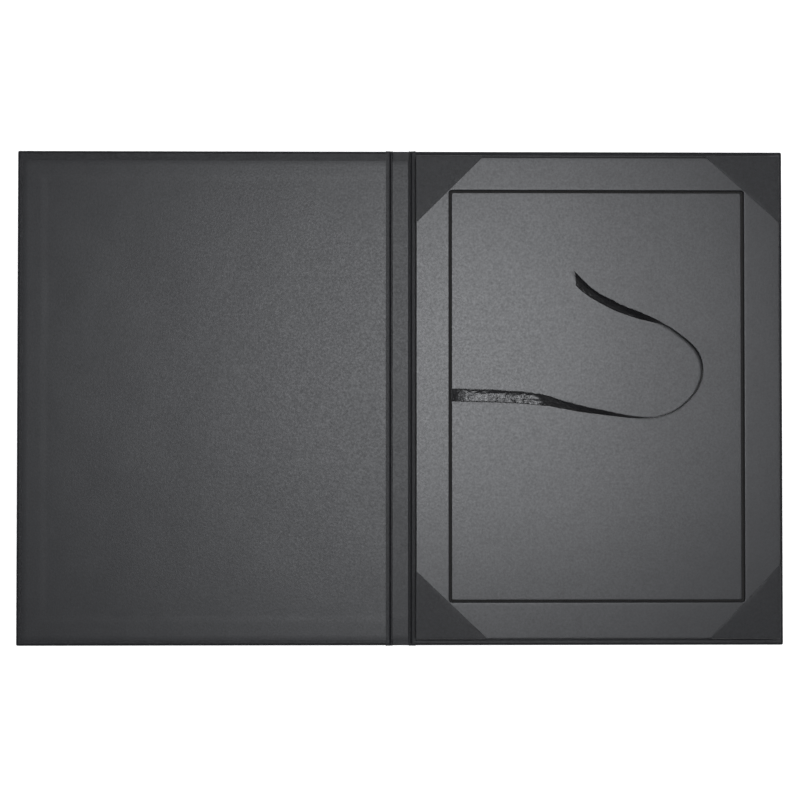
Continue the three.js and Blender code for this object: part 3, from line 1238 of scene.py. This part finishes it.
# The ribbon's route on the panel: x and y in millimetres, and its roll on to its edge in degrees
RIBBON_ROUTE = (
    (60, 1.5, 14),
    (78, 0.6, 23),
    (93, -0.5, 30),
    (106.5, -2.4, 45),
    (120, -5.6, 55),
    (133, -8.5, 63),
    (146, -10.7, 71),
    (159, -12.9, 78),
    (171.5, -14.5, 83),
    (182.5, -14.6, 88),
    (191.5, -13, 90),
    (200.8, -9, 90),
    (208.3, -3.4, 90),
    (215, 4.4, 90),
    (219.2, 13.6, 88),
    (220.4, 23, 82),
    (218.4, 31.2, 79),
    (213.8, 37.9, 79),
    (207, 44, 80),
    (198.2, 50.4, 83),
    (190.3, 54.2, 92),
    (182.5, 57.2, 105),
    (171.5, 60.9, 118),
    (159, 65.7, 124),
    (146, 72.2, 124),
    (135.4, 79.1, 126),
    (127.2, 87.2, 127),
)


@dataclass
class PullRibbon:
    """The satin ribbon: glued under the panel, up through the left gap and loose on the panel.

    The pairs stiff_from, lean_from, edge_from and edge_until are angles of the roll in degrees:
    where a change starts, or ends for the last one, and how many degrees it takes.
    """

    wardrobe: Wardrobe
    width: float = 9.3 * MM
    thickness: float = 0.25 * MM
    clearance: float = 0.3 * MM
    tail: float = 22 * MM
    fold: float = 0.55 * MM
    root_y: float = 1.9 * MM
    root_run: float = 4 * MM
    hump: float = 3.7 * MM
    hump_rise: float = 17.5 * MM
    hump_fall: float = 60 * MM
    lean: float = math.radians(36)
    stiff_from: Span = (32, 18)
    lean_from: Span = (104, 16)
    edge_from: Span = (70, 12)
    edge_until: Span = (112, 12)
    hollow: float = 0.2 * MM
    fine: Swell = Swell(0.3 * MM, 6 * MM, seed=41)
    broad: Swell = Swell(0.4 * MM, 19 * MM, seed=43)
    crease_run: float = 10 * MM
    edge_calm: float = 0.85
    cut_slant: float = 8.5 * MM
    cut_reach: float = 14 * MM
    steps: int = 420
    across: int = 17

    @property
    def gap_x(self) -> float:
        """Where the band's middle rises through the panel's left gap."""
        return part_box("pull_ribbon")[0].x + self.thickness / 2

    @property
    def lying(self) -> float:
        """The height of the band's middle where it lies on the panel."""
        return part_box("insert_paper")[1].z + self.clearance + self.thickness / 2

    def run(self) -> tuple[Array, Array]:
        """Work out the centre line on the panel.

        A Catmull-Rom curve passes through the route's points, and is then spaced evenly by length.
        It leaves the gap steeply, passes over a low hump and comes down to the panel.

        Returns:
            Points of the line that the lower edge rests on (steps, 3) and rolls (steps,), radians.
        """
        root = (self.gap_x + self.root_run, self.root_y, 0.0)
        route = np.array([root] + [(x * MM, y * MM, math.radians(r)) for x, y, r in RIBBON_ROUTE])
        padded = np.concatenate([2 * route[:1] - route[1:2], route, 2 * route[-1:] - route[-2:-1]])
        place = np.linspace(0, len(route) - 1, 20 * self.steps)
        index = np.minimum(place.astype(int), len(route) - 2)
        t = (place - index)[:, None]
        p0, p1, p2, p3 = (padded[index + k] for k in range(4))
        bend = 2 * p0 - 5 * p1 + 4 * p2 - p3
        twist = 3 * p1 - p0 - 3 * p2 + p3
        curve = 0.5 * (2 * p1 + (p2 - p0) * t + bend * t**2 + twist * t**3)
        length = run_length(curve[:, :2])
        even = np.linspace(0, length[-1], self.steps)
        x, y, roll = (np.interp(even, length, curve[:, k]) for k in range(3))
        gone = even + self.root_run
        rise = self.hump * (1 - np.clip(1 - gone / self.hump_rise, 0, 1) ** 2)
        z = self.lying + rise * (1 - smooth_step((gone - self.hump_rise) / self.hump_fall))
        return np.stack([x, y, z], -1), roll

    def tail_line(self) -> Array:
        """Work out the centre line under the panel and up through the gap, with rounded folds.

        Returns:
            Points of the line (count, 3).
        """
        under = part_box("pull_ribbon")[0].z + self.thickness / 2
        line = filleted(
            [
                (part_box("insert_paper")[0].x + self.tail, under, 0),
                (self.gap_x, under, self.fold),
                (self.gap_x, self.lying, self.fold),
                (self.gap_x + self.root_run, self.lying, 0),
            ]
        )[:-1]
        return np.stack([line[:, 0], np.full(len(line), self.root_y), line[:, 1]], -1)

    def section(self, roll: Array) -> tuple[Array, Array, Array]:
        """Work out the band's section at each centre point, from its lower edge up.

        At a share u of the width the section has turned by roll (s + (1 - s) 4.2 u^8). The
        stiffness s is 0 near the root, where only the upper edge turns up, and 1 where the whole
        band stands. Past the loop the lower edge lies flatter: the turn gains lean (1 - 2 u).
        Level and standing places are the running sums of the turn's cosine and sine.

        Args:
            roll: The mean turn at each centre point, in radians.

        Returns:
            Level places, standing places and turns, each (steps, across).
        """
        u = np.linspace(0, 1, self.across)[None]
        stiff = after_angle(roll, self.stiff_from)[:, None]
        turn = roll[:, None] * (stiff + (1 - stiff) * 4.2 * u**8)
        turn += self.lean * after_angle(roll, self.lean_from)[:, None] * (1 - 2 * u)
        middle = (turn[:, 1:] + turn[:, :-1]) / 2
        step = self.width / (self.across - 1)
        start = np.zeros((len(roll), 1))
        level = np.concatenate([start, np.cumsum(np.cos(middle) * step, axis=1)], 1)
        standing = np.concatenate([start, np.cumsum(np.sin(middle) * step, axis=1)], 1)
        level -= (level.max(1, keepdims=True) + level.min(1, keepdims=True)) / 2
        return level, standing - standing.min(1, keepdims=True), turn

    def creases(self, along: Array, free: Array) -> Array:
        """Return how far the satin's creases stand off the smooth band: a slight hollow between
        the edges and two seeded swells, times the share that each centre point is free.

        Args:
            along: How far along the band each centre point lies.
            free: Share of the creases that each centre point shows.

        Returns:
            Distances off the smooth band (points, across).
        """
        share = np.linspace(-0.5, 0.5, self.across)[None]
        hollow = self.hollow * (4 * share**2 - 1 / 3)
        across = share * self.width * 2
        swells = self.fine.at(along[:, None], across) + self.broad.at(along[:, None], across)
        return (hollow + swells) * free[:, None]

    def build(self) -> Piece:
        """Build the band: its section at each centre point, set square to the way forward.

        A point is centre + l level + s standing + c face + f forward: l and s are the section's
        places, c the crease, and f slants the free end's cut.

        Returns:
            The piece, on its body.
        """
        run, run_roll = self.run()
        tail = self.tail_line()
        line = np.concatenate([tail, run])
        roll = np.concatenate([np.zeros(len(tail)), run_roll])
        forward = np.gradient(line, axis=0)
        forward /= np.linalg.norm(forward, axis=1)[:, None]
        level_way = np.cross((0.0, 0.0, 1.0), forward * (1, 1, 0))
        level_way[: len(tail) + 1] = (0, 1, 0)
        level_way /= np.linalg.norm(level_way, axis=1)[:, None]
        standing_way = np.cross(forward, level_way)
        level, standing, turn = self.section(roll)
        face = standing_way[:, None] * np.cos(turn)[..., None] - level_way[:, None] * np.sin(turn)[..., None]
        along = run_length(line)
        until, over = self.edge_until
        on_edge = after_angle(roll, self.edge_from) * smooth_step((until - np.degrees(roll)) / over)
        gone = along - along[len(tail)]
        free = smooth_step(gone / self.crease_run) * (1 - self.edge_calm * on_edge)
        crease = self.creases(along, free)
        near_end = smooth_step(1 - (along[-1] - along) / self.cut_reach)[:, None]
        slant = near_end * np.linspace(-0.5, 0.5, self.across)[None] * self.cut_slant
        points = (
            line[:, None]
            + level_way[:, None] * level[..., None]
            + standing_way[:, None] * standing[..., None]
            + face * crease[..., None]
            + forward[:, None] * slant[..., None]
        )
        over_width = np.linspace(0, self.width, self.across)[None]
        uv = np.stack(np.broadcast_arrays(along[:, None], over_width), -1)
        piece = grid_piece("satin_pull_ribbon", points, uv=uv)
        stand_in(piece, "pull_ribbon", self.thickness, self.wardrobe.satin, at_once=True)
        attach(piece, "base")
        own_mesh(piece)
        return piece


def after_angle(roll: Array, change: Span) -> Array:
    """Return a smooth step of the roll that starts at an angle and takes so many degrees."""
    start, over = change
    return smooth_step((np.degrees(roll) - start) / over)


# The stage


@dataclass(frozen=True)
class Camera:
    """Where the photo was taken from: above the box, about 28 mm off its middle and a degree off
    plumb."""

    x: float = -15.8 * MM
    y: float = -22.6 * MM
    height: float = 1200 * MM
    pitch: float = math.radians(-1.005)
    yaw: float = math.radians(0.7305)
    roll: float = math.radians(-0.022)
    lens: float = 73.14
    sensor: float = 36.0

    def build(self) -> Piece:
        """Make the camera and set it as the scene's.

        Returns:
            The camera.
        """
        data = bpy.data.cameras.new("photo_camera")
        data.lens = self.lens
        data.sensor_width = self.sensor
        camera = bpy.data.objects.new("photo_camera", data)
        turn = (
            Matrix.Rotation(self.roll, 3, "Z")
            @ Matrix.Rotation(self.yaw, 3, "Y")
            @ Matrix.Rotation(self.pitch, 3, "X")
        )
        camera.matrix_world = Matrix.Translation((self.x, self.y, self.height)) @ turn.transposed().to_4x4()
        bpy.context.scene.collection.objects.link(camera)
        bpy.context.scene.camera = camera
        return camera


@dataclass(frozen=True)
class Studio:
    """A pale floor, one broad lamp overhead and a surround that is lighter near the horizon."""

    lamp_x: float = 0.115
    lamp_y: float = 0.12
    lamp_height: float = 1.9
    lamp_size: float = 0.66
    lamp_power: float = 19.4
    lamp_colour: Colour = (0.955, 0.97, 1.0)
    zenith: float = 0.07
    horizon: float = 0.17
    floor_size: float = 80.0
    floor_drop: float = 0.15 * MM
    floor_turn_up: Span = (5.0, 4.5)
    floor_tone: float = 0.85
    floor_roughness: float = 0.9
    floor_glow: Span = (0.7, 1.0)
    glow_reach: Span = (0.9, 3.0)

    def floor(self) -> Piece:
        """Make the floor: pale, and lifted to white where the camera or a reflection sees it. Far
        out it turns up a little, and its glow makes up for the lamp's light that it lacks there.

        Returns:
            The floor.
        """
        half = self.floor_size / 2
        beyond, lift = self.floor_turn_up
        corner = np.array([-half - beyond, -half, half, half + beyond])
        grid_x, grid_y = np.meshgrid(corner, corner, indexing="ij")
        outside = np.maximum(abs(grid_x), abs(grid_y)) > half
        points = np.stack([grid_x, grid_y, np.where(outside, lift, -self.floor_drop)], -1)
        piece = grid_piece("floor", points)
        nodes = Nodes("white_floor")
        nodes.surface.inputs["Base Color"].default_value = (*(self.floor_tone,) * 3, 1)
        nodes.surface.inputs["Roughness"].default_value = self.floor_roughness
        nodes.gloss(0.0)
        path = nodes.tree.nodes.new("ShaderNodeLightPath")
        seen = nodes.combine("ADD", (path, "Is Camera Ray"), (path, "Is Glossy Ray"))
        seen = nodes.combine("ADD", (seen, "Value"), (path, "Is Transmission Ray"))
        away = nodes.tree.nodes.new("ShaderNodeVectorMath")
        away.operation = "LENGTH"
        nodes.join(nodes.places, "Object", away, 0)
        near_or_far = nodes.span(away, "Value", self.glow_reach, self.floor_glow)
        glow = nodes.combine("MULTIPLY", (seen, "Value"), (near_or_far, "Result"))
        nodes.surface.inputs["Emission Color"].default_value = (1, 1, 1, 1)
        nodes.join(glow, "Value", nodes.surface, "Emission Strength")
        piece.data.materials.append(nodes.material)
        return piece

    def lights(self) -> None:
        """Make the overhead lamp and the surround."""
        data = bpy.data.lights.new("overhead_softbox", "AREA")
        data.shape = "SQUARE"
        data.size = self.lamp_size
        data.energy = self.lamp_power
        data.color = self.lamp_colour
        lamp = bpy.data.objects.new("overhead_softbox", data)
        lamp.location = (self.lamp_x, self.lamp_y, self.lamp_height)
        bpy.context.scene.collection.objects.link(lamp)
        world = bpy.data.worlds.new("surround")
        world.use_nodes = True
        tree = world.node_tree
        sky = tree.nodes["Background"]
        sky.inputs["Color"].default_value = (1, 1, 1, 1)
        way = tree.nodes.new("ShaderNodeTexCoord")
        split = tree.nodes.new("ShaderNodeSeparateXYZ")
        fade = tree.nodes.new("ShaderNodeMapRange")
        fade.inputs["To Min"].default_value = self.horizon
        fade.inputs["To Max"].default_value = self.zenith
        tree.links.new(way.outputs["Generated"], split.inputs["Vector"])
        tree.links.new(split.outputs["Z"], fade.inputs["Value"])
        tree.links.new(fade.outputs["Result"], sky.inputs["Strength"])
        bpy.context.scene.world = world


def main() -> None:
    """Build the camera, the ribbon, the case, the tray, the panel and the stage, in that order,
   ."""
    logging.basicConfig(level=logging.INFO, format="%(message)s")
    Camera().build()
    wardrobe = Wardrobe()
    levels = Levels()
    made = [PullRibbon(wardrobe).build()]
    cover = CaseBoard("cover", OpenSide.RIGHT, levels, wardrobe)
    made += [cover.wrap(), cover.liner()]
    spine = Spine(levels, wardrobe)
    made += [spine.wrap(), spine.liner()]
    made.append(CaseBoard("base", OpenSide.LEFT, levels, wardrobe).wrap())
    for side, body in ((1, "base"), (-1, "cover")):
        hinge = Hinge(side, body, levels, wardrobe)
        made += [hinge.outer_cloth(), hinge.inner_cloth()]
    tray = Tray(levels, wardrobe)
    made.append(tray.paper())
    for node in ("corner_top_left", "corner_top_right", "corner_bottom_left", "corner_bottom_right"):
        made.append(tray.corner(node))
    made.append(LiftOutPanel(levels, wardrobe).paper())
    redress("base_liner", wardrobe.paper)
    # Boards and rails take the dark board; where the rails show in the window's gaps, its dark colour is
    # partly painted shade.
    for node in frame["nodes"]:
        if node.endswith("_board") or node.startswith("rail_"):
            redress(node, wardrobe.board)
    studio = Studio()
    studio.floor()
    studio.lights()
    scene = bpy.context.scene
    scene.view_settings.view_transform = "Standard"


if __name__ == "__main__":
    main()
